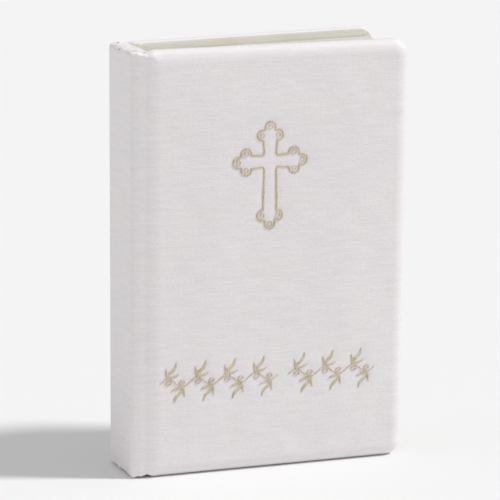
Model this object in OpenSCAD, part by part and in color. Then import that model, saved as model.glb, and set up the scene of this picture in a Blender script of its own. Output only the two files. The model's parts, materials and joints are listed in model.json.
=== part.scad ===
// Small case-bound prayer book with soft padded covers in white silk.
// It stands on its tail edges: +Z runs from tail to head, +X from spine to fore-edge,
// and the front cover faces -Y. The front cover stands a few degrees ajar.
// The origin is the middle of the footprint, on the surface the book stands on.

/* [Page block] */
// Width of a leaf, from its fold at the spine to the fore-edge
page_w = 98; // [70:1:150]
// Height of a leaf
page_h = 152; // [115:1:220]
// Thickness of one folded section
section_t = 1.25; // [0.8:0.05:3]
// Gap between neighbouring sections
section_gap = 0.1; // [0.05:0.01:0.3]
// Depth of the glued backs, from the folds to the shoulder where the leaves turn
back_depth = 3.3; // [2:0.1:6]
// Thickness of a loose endpaper leaf
flyleaf_t = 0.3; // [0.2:0.05:0.6]

/* [Covers] */
// Overhang of the covers beyond the leaves at head, tail and fore-edge
square_w = 3; // [1.5:0.5:6]
// Thickness of the cover boards
board_t = 2; // [1.2:0.1:4]
// Thickness of the wadding over the boards
padding_t = 2.4; // [1:0.1:5]
// Thickness of the silk cloth with its backing
silk_t = 0.4; // [0.3:0.05:0.8]
// Thickness of the endpaper pasted inside each cover
pastedown_t = 0.3; // [0.2:0.05:0.6]
// Width of the silk turned in over the inside of the boards
turn_in = 13; // [8:1:20]
// Radius of the fore-edge corners
corner_r = 6; // [6:0.5:20]
// How much rounder the corners beside the spine are than the soft edge
hinge_corner_extra = 0.4; // [0.2:0.1:4]
// Distance of the pastedown from the edges of a cover
pastedown_inset = 3.4; // [2:0.1:5]
// Gap between the pastedown and the flyleaf when the book is shut
cover_gap = 0.2; // [0.1:0.05:1]

/* [Spine] */
// Thickness of the spine board
spine_board_t = 1.6; // [1:0.1:3]
// Radius of the soft edges of the spine
spine_r = 2.4; // [1:0.1:2.8]
// Depth of the spine band, from its outer face to the joint groove
spine_band = 3.2; // [2.9:0.1:6]
// Width of the flexible cloth joint between spine and cover
joint_w = 3.2; // [2.4:0.1:8]
// Depth of the joint groove below the cover's face
joint_recess = 1.2; // [0.5:0.1:2]
// Half of the slit left in the joint cloth at the hinge line
joint_slit = 0.2; // [0.15:0.05:0.4]
// Hollow between the spine's turned-in silk and the lined back of the block
hollow_gap = 0.3; // [0.2:0.05:2]
// Thickness of the kraft paper lining on the back of the block
kraft_t = 0.3; // [0.2:0.05:0.6]
// Thickness of the open-weave mull cloth
mull_t = 0.3; // [0.2:0.05:0.6]
// Distance of the mull from the head and tail of the block
mull_inset = 10; // [10:1:25]
// Width of the mull flap glued to each board
mull_flap_w = 22; // [10:1:30]

/* [Sewing and bands] */
// Diameter of the sewing thread
thread_d = 0.4; // [0.3:0.05:0.6]
// Number of sewing stations along the back
station_count = 5; // [3:1:8]
// Distance of the outer stations from head and tail
station_inset = 14; // [12:1:30]
// Radius of the headband and tailband beads
band_r = 0.9; // [0.6:0.1:1.2]
// Height of the cloth skirt under each bead
band_skirt = 8; // [4:0.5:9.5]

/* [Embroidery] */
// How far the embroidery stands proud of the silk
stitch_proud = 0.5; // [0.3:0.1:1]
// Width of an embroidered line
stitch_w = 1.1; // [0.8:0.1:2]
// Distance of the middle of the cross arms from the head edge
cross_drop = 42; // [30:0.2:60]
// How far the cross sits from the cover's middle, towards the spine
cross_shift = 4.2; // [0:0.2:8]
// Reach of the cross above its arms
cross_up = 15; // [13:0.5:20]
// Reach of the cross below its arms
cross_down = 25.5; // [18:0.5:40]
// Reach of each cross arm sideways
cross_side = 14.5; // [13:0.5:25]
// Half the width of the stem between its outlines
stem_half = 2.3; // [1.5:0.1:4]
// Half the height of the arms between their outlines
arm_half = 2.1; // [1.5:0.1:4]
// Radius of the three buds at each end of the cross
bud_r = 1.9; // [1.2:0.1:3]
// Height of the scrollwork's middle above the tail edge
scroll_z = 36; // [20:0.5:60]
// Distance of the scrollwork from the cover's edge at the spine
scroll_start = 4; // [4:0.5:15]
// Distance of the scrollwork from the fore-edge
scroll_end = 12; // [4:0.5:20]
// Number of waves in the first scroll
scroll_waves_a = 4; // [2:1:4]
// Number of waves in the second scroll
scroll_waves_b = 3; // [1:1:3]
// Rise of the scroll stem above and below its middle
wave_rise = 1.5; // [1:0.1:3]
// Gap between the two scrolls
scroll_gap = 4.5; // [4:0.5:12]
// Length of a scroll leaf
leaf_l = 7.5; // [3:0.5:9]
// Width of a scroll leaf
leaf_w = 2.2; // [1:0.1:4]

/* [Rest pose] */
// Angle at which the front cover stands ajar
ajar = 6; // [0:0.5:7]
// Share of the cover's angle that the flyleaf takes
flyleaf_share = 0.58; // [0.5:0.01:0.58]
// Share of the cover's angle that the outermost section takes
section_share = 0.45; // [0.2:0.01:0.45]

/* [Hidden] */
sections = 10;
half_sections = sections / 2;
pitch = section_t + section_gap;
block_half = half_sections * pitch;
cover_t = silk_t + padding_t + board_t + silk_t + pastedown_t;
half_t = block_half + section_gap + flyleaf_t + cover_gap + cover_t;
edge_r = silk_t + padding_t;
hinge_corner_r = edge_r + hinge_corner_extra;
hinge_x = spine_band + joint_w / 2;
cover_x0 = spine_band + joint_w;

// Layers from the spine's outer face inwards
turned_x = silk_t + spine_board_t;
kraft_x = turned_x + silk_t + hollow_gap;
mull_x = kraft_x + kraft_t;
thread_x = mull_x + mull_t;
backs_x = thread_x + thread_d;
leaf_x = backs_x + back_depth;
fore_x = backs_x + page_w;

cover_x1 = fore_x + square_w + silk_t;
page_z = silk_t + square_w;
cover_h = page_h + 2 * page_z;

// The leaves of each half turn about one line at the front of the flyleaf
leaf_axis_y = block_half + section_gap + flyleaf_t;
leaf_slit = section_gap;

// Footprint with the front cover ajar, for the origin
ajar_front_x = hinge_x + (cover_x1 - hinge_x) * cos(ajar) + (cover_t - pastedown_t) * sin(ajar);
centre_x = max(cover_x1, ajar_front_x) / 2;
front_y = -half_t - (cover_x1 - edge_r - hinge_x) * sin(ajar) - edge_r * (1 - cos(ajar));
centre_y = (half_t + front_y) / 2;

cross_x = (cover_x0 + cover_x1) / 2 - cross_shift;
cross_z = cover_h - cross_drop;
scroll_w = cover_x1 - cover_x0 - scroll_start - scroll_end;
wave_l = (scroll_w - scroll_gap) / (scroll_waves_a + scroll_waves_b);
station_z0 = page_z + station_inset;
station_step = (page_h - 2 * station_inset) / (station_count - 1);
slice = 0.01;
cut = 1;

silk_colour = [0.90, 0.885, 0.875];
thread_colour = [0.80, 0.73, 0.60];
paper_colour = [0.93, 0.92, 0.87];
endpaper_colour = [0.90, 0.885, 0.83];
board_colour = [0.62, 0.58, 0.52];
kraft_colour = [0.70, 0.56, 0.40];
wadding_colour = [0.97, 0.97, 0.96];
mull_colour = [0.92, 0.91, 0.87];

// ---- places ----

// From the spine's own corner to the standing origin
module stand() {
    translate([-centre_x, -centre_y, 0]) children();
}

// Turns a piece of the front half about an upright line, towards the front
module turned(x, y, angle) {
    translate([x, y, 0]) rotate([0, 0, -angle]) translate([-x, -y, 0]) children();
}

// A cover piece drawn for the front, with its outer face at y = 0, put in its place
module front_cover() {
    stand() turned(hinge_x, -half_t, ajar) translate([0, -half_t, 0]) children();
}

module back_cover() {
    stand() mirror([0, 1, 0]) translate([0, -half_t, 0]) children();
}

// An upright plate: an outline in X and Z given thickness from y0 towards the block
module upright(y0, t) {
    translate([0, y0 + t, 0]) rotate([90, 0, 0]) linear_extrude(height = t) children();
}

// Outline of a cover, drawn in by inset, with small corners at the hinge and large ones at the fore-edge
module outline(inset) {
    rh = hinge_corner_r - inset;
    rc = corner_r - inset;
    x0 = cover_x0 + inset;
    x1 = cover_x1 - inset;
    h = cover_h - 2 * inset;
    translate([0, inset]) {
        translate([x0 + rh, 0]) square([x1 - rc - x0 - rh, h]);
        translate([x0, rh]) square([rh, h - 2 * rh]);
        translate([x1 - rc, rc]) square([rc, h - 2 * rc]);
        for (z = [rh, h - rh])
            translate([x0 + rh, z]) circle(r = rh, $fn = 48);
        for (z = [rc, h - rc])
            translate([x1 - rc, z]) circle(r = rc, $fn = 64);
    }
}

// Profile of a slab from u = 0 inside to its edge at u = reach; its outer face has a soft edge of radius r
module rim(reach, r, depth) {
    intersection() {
        union() {
            square([reach - r, depth]);
            translate([0, r]) square([reach, depth]);
            translate([reach - r, r]) circle(r = r, $fn = 48);
        }
        square([reach, depth]);
    }
}

// A soft-edged cover slab, drawn in by inset, from its face at y0 to depth behind it
module slab(inset, y0, depth, r) {
    rh = hinge_corner_r - inset;
    rc = corner_r - inset;
    x0 = cover_x0 + inset;
    x1 = cover_x1 - inset;
    h = cover_h - 2 * inset;
    translate([0, y0, inset]) {
        translate([x0 + rh, 0, h / 2]) rotate([90, 0, 90])
            linear_extrude(height = x1 - rc - x0 - rh)
                for (m = [0, 1])
                    mirror([0, m]) mirror([1, -1]) rim(h / 2, r, depth);
        translate([x1 - rc, 0, rc]) linear_extrude(height = h - 2 * rc) rim(rc, r, depth);
        translate([x0 + rh, 0, rh]) linear_extrude(height = h - 2 * rh) mirror([1, 0]) rim(rh, r, depth);
        for (m = [0, 1])
            translate([0, 0, h / 2]) mirror([0, 0, m]) {
                translate([x1 - rc, 0, rc - h / 2]) corner(rc, r, depth);
                translate([x0 + rh, 0, rh - h / 2]) mirror([1, 0, 0]) corner(rh, r, depth);
            }
    }
}

// The quarter of a slab's corner that lies towards +X and -Z
module corner(reach, r, depth) {
    rotate([-90, 0, 0]) rotate_extrude(angle = 90, $fn = 64) rim(reach, r, depth);
}

// ---- cover pieces, drawn for the front ----

module board_piece() {
    color(board_colour) upright(edge_r, board_t) outline(silk_t);
}

module padding_piece() {
    color(wadding_colour) slab(silk_t, silk_t, padding_t, padding_t);
}

// Silk over the padding and the board edges, turned in on three sides, with its half of the joint
module silk_piece() {
    inner_y = cover_t - pastedown_t;
    color(silk_colour) {
        difference() {
            slab(0, 0, inner_y, edge_r);
            slab(silk_t, silk_t, padding_t + board_t, padding_t);
            // The inside of the board is bare between the turned-in edges
            translate([cover_x0 - cut, edge_r + slice, turn_in])
                cube([cover_x1 - turn_in - cover_x0 + cut, inner_y, cover_h - 2 * turn_in]);
        }
        translate([hinge_x + joint_slit, joint_recess, 0])
            cube([cover_x0 + silk_t - hinge_x - joint_slit, silk_t, cover_h]);
    }
}

// Glued to the board, in the layer of the turned-in silk
module mull_flap_piece() {
    color(mull_colour) upright(edge_r + board_t, silk_t)
        translate([cover_x0 + silk_t, page_z + mull_inset])
            square([mull_flap_w, page_h - 2 * mull_inset]);
}

module pastedown_piece() {
    r = corner_r - pastedown_inset;
    x1 = cover_x1 - pastedown_inset;
    h = cover_h - 2 * pastedown_inset;
    color(endpaper_colour) upright(cover_t - pastedown_t, pastedown_t)
        translate([0, pastedown_inset]) {
            translate([cover_x0, 0]) square([x1 - r - cover_x0, h]);
            translate([x1 - r, r]) square([r, h - 2 * r]);
            for (z = [r, h - r])
                translate([x1 - r, z]) circle(r = r, $fn = 64);
        }
}

// ---- embroidery on the front cover ----

// The three buds at the end of an arm that reaches out along +X
module buds(reach, grow) {
    translate([reach - bud_r, 0]) circle(r = bud_r + grow, $fn = 48);
    for (side = [-1, 1])
        translate([reach - 2.6 * bud_r, side * 1.55 * bud_r]) circle(r = bud_r + grow, $fn = 48);
    translate([reach - 2.2 * bud_r, 0]) circle(r = 1.4 * bud_r + grow, $fn = 48);
}

// The cross's shape around its outline's middle line, made larger or smaller by grow
module cross_shape(grow) {
    arms = [[0, cross_side, arm_half], [90, cross_up, stem_half],
            [180, cross_side, arm_half], [270, cross_down, stem_half]];
    for (arm = arms)
        rotate(arm[0]) {
            translate([0, -arm[2] - grow]) square([arm[1] - 2.2 * bud_r, 2 * (arm[2] + grow)]);
            buds(arm[1] - stitch_w / 2, grow);
        }
}

module cross_piece() {
    color(thread_colour) upright(-stitch_proud, stitch_proud)
        translate([cross_x, cross_z])
            difference() {
                cross_shape(stitch_w / 2);
                cross_shape(-stitch_w / 2);
            }
}

// Half a wave of the scroll's stem, from 0 to wave_l / 2, bowed up or down
module half_wave(up) {
    chord = wave_l / 2;
    r = (chord * chord / 4 + wave_rise * wave_rise) / (2 * wave_rise);
    translate([chord / 2, 0]) mirror([0, up ? 0 : 1])
        intersection() {
            translate([0, wave_rise - r])
                difference() {
                    circle(r = r + stitch_w / 2, $fn = 64);
                    circle(r = r - stitch_w / 2, $fn = 64);
                }
            translate([-chord / 2 - stitch_w / 4, -stitch_w / 2])
                square([chord + stitch_w / 2, wave_rise + stitch_w + r]);
        }
}

// A pointed leaf from the origin along +X
module leaf() {
    r = (leaf_l * leaf_l + leaf_w * leaf_w) / (4 * leaf_w);
    translate([leaf_l / 2, 0])
        intersection() {
            translate([0, r - leaf_w / 2]) circle(r = r, $fn = 96);
            translate([0, leaf_w / 2 - r]) circle(r = r, $fn = 96);
        }
}

// A running scroll of waves, with a leaf springing from the top and foot of each
module scroll(waves) {
    for (i = [0:waves - 1])
        translate([i * wave_l, 0]) {
            half_wave(true);
            translate([wave_l / 2, 0]) half_wave(false);
            translate([wave_l / 4, wave_rise]) rotate(60) leaf();
            translate([wave_l * 3 / 4, -wave_rise]) rotate(-120) leaf();
        }
}

module scroll_piece() {
    color(thread_colour) upright(-stitch_proud, stitch_proud)
        translate([cover_x0 + scroll_start, scroll_z]) {
            scroll(scroll_waves_a);
            translate([scroll_waves_a * wave_l + scroll_gap, 0]) scroll(scroll_waves_b);
        }
}

// ---- spine ----

module spine_board() {
    half = half_t - spine_r;
    color(board_colour) stand()
        translate([silk_t, -half, silk_t]) cube([spine_board_t, 2 * half, cover_h - 2 * silk_t]);
}

// Plan of the spine band: a block with soft outer edges, open towards the block
module band_plan(inset, x1) {
    r = spine_r - inset;
    half = half_t - inset;
    translate([inset + r, -half]) square([x1 - inset - r, 2 * half]);
    translate([inset, -half + r]) square([r + slice, 2 * (half - r)]);
    for (side = [-1, 1])
        translate([spine_r, side * (half - r)]) circle(r = r, $fn = 64);
}

// Silk round the spine with its half of both joints, turned in at head and tail
module spine_silk() {
    half = half_t - spine_r;
    color(silk_colour) stand() {
        linear_extrude(height = cover_h) {
            difference() {
                band_plan(0, spine_band);
                band_plan(silk_t, spine_band + cut);
            }
            for (side = [0, 1])
                mirror([0, side]) {
                    translate([spine_band - silk_t, -half_t])
                        square([silk_t, joint_recess + silk_t]);
                    translate([spine_band - silk_t, joint_recess - half_t])
                        square([hinge_x - joint_slit - spine_band + silk_t, silk_t]);
                }
        }
        for (end = [0, 1])
            translate([0, 0, end * cover_h]) mirror([0, 0, end]) {
                translate([silk_t / 2, -half, 0]) cube([turned_x + silk_t / 2, 2 * half, silk_t]);
                translate([turned_x, -half, 0]) cube([silk_t, 2 * half, turn_in]);
            }
    }
}

module spine_kraft_lining() {
    color(kraft_colour) stand()
        translate([kraft_x, -block_half, page_z]) cube([kraft_t, 2 * block_half, page_h]);
}

module spine_mull() {
    color(mull_colour) stand()
        translate([mull_x, -block_half, page_z + mull_inset])
            cube([mull_t, 2 * block_half, page_h - 2 * mull_inset]);
}

// A bead along the head of the backs, on a skirt of tape glued behind them
module band_piece() {
    bead_x = backs_x + back_depth / 2;
    color(thread_colour) {
        translate([bead_x, block_half, band_r])
            rotate([90, 0, 0]) cylinder(r = band_r, h = 2 * block_half, $fn = 48);
        translate([mull_x, -block_half, 0]) cube([bead_x - mull_x, 2 * block_half, mull_t]);
        translate([mull_x, -block_half, -band_skirt])
            cube([mull_t, 2 * block_half, band_skirt + mull_t]);
    }
}

module headband() {
    stand() translate([0, 0, page_z + page_h]) band_piece();
}

module tailband() {
    stand() translate([0, 0, page_z]) mirror([0, 0, 1]) band_piece();
}

// One run of thread across the backs at each sewing station
module sewing_thread() {
    color(wadding_colour) stand()
        for (i = [0:station_count - 1])
            translate([thread_x + thread_d / 2, block_half, station_z0 + i * station_step])
                rotate([90, 0, 0]) cylinder(d = thread_d, h = 2 * block_half, $fn = 24);
}

// ---- sections and endpapers ----

// Front face of a section in the shut book, counted from 1 at the front
function section_y(i) = (i - 1 - half_sections) * pitch + section_gap / 2;

// The folded and glued backs of the sections, one bar each
module section_backs() {
    color(paper_colour) stand()
        for (i = [1:sections])
            translate([backs_x, section_y(i), page_z]) cube([back_depth, section_t, page_h]);
}

// Angle at rest of a leaf with this share of the cover's angle
module front_leaf(share) {
    turned(leaf_x, -leaf_axis_y, ajar * share) children();
}

// The leaves of one section, from the shoulder to the fore-edge
module leaves(y) {
    color(paper_colour)
        translate([leaf_x + leaf_slit, y, page_z])
            cube([fore_x - leaf_x - leaf_slit, section_t, page_h]);
}

module section(i) {
    stand()
        if (i <= half_sections)
            front_leaf(section_share * (half_sections + 1 - i) / half_sections) leaves(section_y(i));
        else
            leaves(section_y(i));
}

module flyleaf() {
    color(endpaper_colour)
        translate([leaf_x + leaf_slit, -leaf_axis_y, page_z])
            cube([fore_x - leaf_x - leaf_slit, flyleaf_t, page_h]);
}

spine_board();
spine_silk();
spine_kraft_lining();
spine_mull();
headband();
tailband();
sewing_thread();
section_backs();
front_cover() board_piece();  // front_board
front_cover() padding_piece();  // front_padding
front_cover() silk_piece();  // front_silk
front_cover() mull_flap_piece();  // front_mull_flap
front_cover() pastedown_piece();  // front_pastedown
front_cover() cross_piece();  // cross_embroidery
front_cover() scroll_piece();  // scroll_embroidery
back_cover() board_piece();  // back_board
back_cover() padding_piece();  // back_padding
back_cover() silk_piece();  // back_silk
back_cover() mull_flap_piece();  // back_mull_flap
back_cover() pastedown_piece();  // back_pastedown
stand() front_leaf(flyleaf_share) flyleaf();  // front_flyleaf
stand() mirror([0, 1, 0]) flyleaf();  // back_flyleaf
section(1);  // section_01
section(2);  // section_02
section(3);  // section_03
section(4);  // section_04
section(5);  // section_05
section(6);  // section_06
section(7);  // section_07
section(8);  // section_08
section(9);  // section_09
section(10);  // section_10
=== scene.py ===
import json
import math

import bpy
import numpy as np
from mathutils import Matrix, Vector, kdtree, noise


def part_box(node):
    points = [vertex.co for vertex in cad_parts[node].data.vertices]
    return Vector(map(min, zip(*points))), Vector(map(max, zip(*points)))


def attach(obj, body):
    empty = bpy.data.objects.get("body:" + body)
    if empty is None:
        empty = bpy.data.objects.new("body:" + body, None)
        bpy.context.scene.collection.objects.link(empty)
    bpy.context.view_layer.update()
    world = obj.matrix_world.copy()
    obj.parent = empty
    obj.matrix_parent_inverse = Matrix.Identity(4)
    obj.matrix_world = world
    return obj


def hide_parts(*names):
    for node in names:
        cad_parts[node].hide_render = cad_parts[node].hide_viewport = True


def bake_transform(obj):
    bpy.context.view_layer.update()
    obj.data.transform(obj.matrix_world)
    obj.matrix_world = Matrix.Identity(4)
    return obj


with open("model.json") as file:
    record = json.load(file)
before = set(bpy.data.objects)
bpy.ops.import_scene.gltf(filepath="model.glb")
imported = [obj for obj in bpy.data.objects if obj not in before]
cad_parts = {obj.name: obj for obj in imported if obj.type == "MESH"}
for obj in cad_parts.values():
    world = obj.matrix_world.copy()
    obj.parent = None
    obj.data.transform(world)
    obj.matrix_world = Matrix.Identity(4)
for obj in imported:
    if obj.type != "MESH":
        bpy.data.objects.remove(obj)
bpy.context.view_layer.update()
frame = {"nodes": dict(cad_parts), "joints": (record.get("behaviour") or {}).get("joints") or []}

mm = 0.001
spineLow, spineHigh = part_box("spine_silk")
backLow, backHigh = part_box("back_silk")
leafLow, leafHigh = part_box("section_10")
bookX = spineLow.x
bookY = (spineLow.y + spineHigh.y) / 2

# sizes of the shut book in mm: x from the spine's outer face, y from the block's middle, z from the tail
book = {
    "half": (spineHigh.y - spineLow.y) / 2 / mm,
    "tall": spineHigh.z / mm,
    "fore": (backHigh.x - bookX) / mm,
    "cover": (backHigh.y - backLow.y) / mm,
    "leafFore": (leafHigh.x - bookX) / mm,
    "leafTail": leafLow.z / mm,
    "leafHead": leafHigh.z / mm,
    "shoulder": 7.0,
    "section": (leafHigh.y - leafLow.y) / mm,
    "sectionGap": 0.1,
    "sections": 10,
}
joints = {j["name"]: j for j in frame["joints"]}
hingeX = (joints["front_cover_hinge"]["pos_m"][0] - bookX) / mm
hingeY = (joints["front_cover_hinge"]["pos_m"][1] - bookY) / mm
leafAxisX = (joints["front_flyleaf_turn"]["pos_m"][0] - bookX) / mm
leafAxisY = (joints["front_flyleaf_turn"]["pos_m"][1] - bookY) / mm
ajar = 6.0  # degrees that the front cover stands open at rest


def ease(t):
    t = np.clip(t, 0, 1)
    return t * t * (3 - 2 * t)


def risen(x, span):
    # goes softly from 0 to 1 over a span given as (start, length)
    return ease((x - span[0]) / span[1])


def turned(points, weight, degrees, aboutX, aboutY):
    # turns points about an upright line, each by its own share of the angle
    a = np.radians(degrees) * weight
    dx = points[..., 0] - aboutX
    dy = points[..., 1] - aboutY
    out = points.copy()
    out[..., 0] = aboutX + dx * np.cos(a) - dy * np.sin(a)
    out[..., 1] = aboutY + dx * np.sin(a) + dy * np.cos(a)
    return out


def bookBox(node):
    # a node's box as pairs of book millimetres
    low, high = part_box(node)
    x = [(v - bookX) / mm for v in (low.x, high.x)]
    y = [(v - bookY) / mm for v in (low.y, high.y)]
    return x, y, [low.z / mm, high.z / mm]


def waver(points, scale, seed):
    # smooth noise at each point
    shift = Vector((seed, 0, 0))
    return np.array([noise.noise(Vector(p) * scale + shift) for p in points])


def newPiece(name, points, faces, uvs=None):
    # a mesh from points in book millimetres, put in the frame in metres
    mesh = bpy.data.meshes.new(name)
    placed = np.asarray(points, float) * mm + np.array((bookX, bookY, 0.0))
    mesh.from_pydata([tuple(p) for p in placed], [], [tuple(int(i) for i in f) for f in faces])
    if uvs is not None:
        layer = mesh.uv_layers.new(name="cloth")
        loops = np.zeros(len(mesh.loops), int)
        mesh.loops.foreach_get("vertex_index", loops)
        layer.data.foreach_set("uv", (np.asarray(uvs, float)[loops] * mm).astype(np.float32).ravel())
    mesh.validate()
    mesh.update()
    obj = bpy.data.objects.new(name, mesh)
    bpy.context.scene.collection.objects.link(obj)
    return obj


def pick(obj):
    if bpy.context.object and bpy.context.object.mode != "OBJECT":
        bpy.ops.object.mode_set(mode="OBJECT")
    bpy.ops.object.select_all(action="DESELECT")
    bpy.context.view_layer.objects.active = obj
    obj.select_set(True)


def bevelEdges(obj, test, offset, segments):
    # bevels the edges whose two ends pass the test
    pick(obj)
    bpy.ops.object.mode_set(mode="EDIT")
    bpy.ops.mesh.select_mode(type="EDGE")
    bpy.ops.mesh.select_all(action="DESELECT")
    bpy.ops.object.mode_set(mode="OBJECT")
    for e in obj.data.edges:
        a, b = (obj.data.vertices[i].co for i in e.vertices)
        e.select = test(a, b)
    bpy.ops.object.mode_set(mode="EDIT")
    bpy.ops.mesh.bevel(offset=offset, segments=segments)
    bpy.ops.object.mode_set(mode="OBJECT")


def everyEdge(a, b):
    return True


def smooth(obj, degrees):
    pick(obj)
    bpy.ops.object.shade_smooth_by_angle(angle=math.radians(degrees))


def dress(obj, degrees, material, node=None):
    # smooth shading, one material and its slot, and the node that the piece stands for
    smooth(obj, degrees)
    obj.data.materials.append(material)
    if node:
        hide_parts(node)


def applyAll(obj):
    pick(obj)
    for m in list(obj.modifiers):
        bpy.ops.object.modifier_apply(modifier=m.name)


def applyPlace():
    bpy.ops.object.transform_apply(location=True, rotation=True, scale=True)


def addBox(x, y, z):
    # a block between three pairs of book millimetres
    bpy.ops.object.select_all(action="DESELECT")
    bpy.ops.mesh.primitive_cube_add(size=1, location=(sum(x) / 2, sum(y) / 2, sum(z) / 2))
    obj = bpy.context.object
    obj.scale = (x[1] - x[0], y[1] - y[0], z[1] - z[0])
    applyPlace()
    return obj


def takeMesh(obj):
    # points and faces of a finished block, which is then cleared away
    points = np.array([v.co for v in obj.data.vertices], float)
    faces = [tuple(p.vertices) for p in obj.data.polygons]
    bpy.data.objects.remove(obj)
    return points, faces


def evenMesh(obj, size):
    shell = obj.modifiers.new("even", "REMESH")
    shell.mode = "VOXEL"
    shell.voxel_size = size
    applyAll(obj)


def copyAlong(obj, count, pitch):
    # a row of copies along y
    more = obj.modifiers.new("copies", "ARRAY")
    more.count = count
    more.use_relative_offset = False
    more.use_constant_offset = True
    more.constant_offset_displace = (0, pitch, 0)
    applyAll(obj)


def thicken(obj, thick, offset=-1.0):
    wall = obj.modifiers.new("wall", "SOLIDIFY")
    wall.thickness = thick * mm
    wall.offset = offset
    wall.use_rim = True
    applyAll(obj)


def gridFaces(rows, cols, start=0):
    faces = []
    for r in range(rows - 1):
        for c in range(cols - 1):
            a = start + r * cols + c
            faces.append((a, a + 1, a + cols + 1, a + cols))
    return faces


def roundCorner(u, v):
    # draws the corner of a unit square to a quarter of a disc
    u = np.clip(u, 0, 1)
    v = np.clip(v, 0, 1)
    return u * np.sqrt(1 - v * v / 2), v * np.sqrt(1 - u * u / 2)


# materials
def newMaterial(name, roughness):
    mat = bpy.data.materials.new(name)
    mat.use_nodes = True
    shader = mat.node_tree.nodes["Principled BSDF"]
    shader.inputs["Roughness"].default_value = roughness
    return mat, mat.node_tree.nodes, mat.node_tree.links, shader


def coords(nodes, links, kind, scale=(1.0, 1.0, 1.0)):
    place = nodes.new("ShaderNodeTexCoord")
    mapping = nodes.new("ShaderNodeMapping")
    mapping.inputs["Scale"].default_value = scale
    links.new(place.outputs[kind], mapping.inputs["Vector"])
    return mapping.outputs["Vector"]


def noiseMap(nodes, links, vector, scale, detail=3.0, rough=0.55):
    tex = nodes.new("ShaderNodeTexNoise")
    tex.inputs["Scale"].default_value = scale
    tex.inputs["Detail"].default_value = detail
    tex.inputs["Roughness"].default_value = rough
    links.new(vector, tex.inputs["Vector"])
    return tex.outputs["Fac"]


def ramp(nodes, links, value, stops):
    node = nodes.new("ShaderNodeValToRGB")
    while len(node.color_ramp.elements) < len(stops):
        node.color_ramp.elements.new(0.5)
    for element, (at, colour) in zip(node.color_ramp.elements, stops):
        element.position = at
        element.color = (*colour, 1.0)
    links.new(value, node.inputs["Fac"])
    return node.outputs["Color"]


def multiplied(nodes, links, share, a, b):
    # colour a darkened by its share of colour b
    mix = nodes.new("ShaderNodeMix")
    mix.data_type = "RGBA"
    mix.blend_type = "MULTIPLY"
    mix.inputs["Factor"].default_value = share
    links.new(a, mix.inputs["A"])
    links.new(b, mix.inputs["B"])
    return mix.outputs["Result"]


def sumMap(nodes, links, parts):
    # parts are (output, weight)
    total = None
    for out, weight in parts:
        times = nodes.new("ShaderNodeMath")
        times.operation = "MULTIPLY"
        times.inputs[1].default_value = weight
        links.new(out, times.inputs[0])
        if total is None:
            total = times.outputs[0]
        else:
            add = nodes.new("ShaderNodeMath")
            add.operation = "ADD"
            links.new(total, add.inputs[0])
            links.new(times.outputs[0], add.inputs[1])
            total = add.outputs[0]
    return total


def bump(nodes, links, shader, height, distance):
    # distance in mm
    node = nodes.new("ShaderNodeBump")
    node.inputs["Strength"].default_value = 1.0
    node.inputs["Distance"].default_value = distance * mm
    links.new(height, node.inputs["Height"])
    links.new(node.outputs["Normal"], shader.inputs["Normal"])


def waves(nodes, links, vector, scale, direction, wobble):
    tex = nodes.new("ShaderNodeTexWave")
    tex.wave_type = "BANDS"
    tex.bands_direction = direction
    tex.wave_profile = "SIN"
    tex.inputs["Scale"].default_value = scale
    tex.inputs["Distortion"].default_value = wobble
    tex.inputs["Detail"].default_value = 1.0
    tex.inputs["Detail Scale"].default_value = 1.5
    links.new(vector, tex.inputs["Vector"])
    return tex.outputs["Fac"]


silkLook = {
    "light": (0.865, 0.840, 0.842),
    "dark": (0.808, 0.780, 0.784),
    # insideLight and insideDark are painted light: a cream bounce tint and a lighter tone for the turned-in
    # silk, in place of light between the covers
    "insideLight": (0.880, 0.862, 0.770),
    "insideDark": (0.820, 0.798, 0.690),
    "slubHeight": 0.12,
    "sheen": 0.22,
    "roughness": 0.52,
}
paperLook = {
    "page": ((0.81, 0.80, 0.77), (0.75, 0.74, 0.70)),
    "end": ((0.78, 0.765, 0.69), (0.73, 0.71, 0.63)),
    "kraft": ((0.50, 0.36, 0.23), (0.42, 0.29, 0.18)),
    "kraftFibre": 600.0,
    "board": ((0.42, 0.40, 0.37), (0.28, 0.27, 0.25)),
}
threadLook = {
    "mull": ((0.80, 0.77, 0.68), (0.50, 0.47, 0.40)),
    "mullPitch": 0.7,
    "band": ((0.80, 0.76, 0.66), (0.70, 0.65, 0.54)),
    "linen": ((0.78, 0.74, 0.64), (0.62, 0.57, 0.46)),
    "linenSheen": 0.05,
    "gold": ((0.86, 0.76, 0.60), (0.70, 0.59, 0.43)),
}
waddingLook = ((0.9, 0.9, 0.88), (0.78, 0.77, 0.74))


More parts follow.
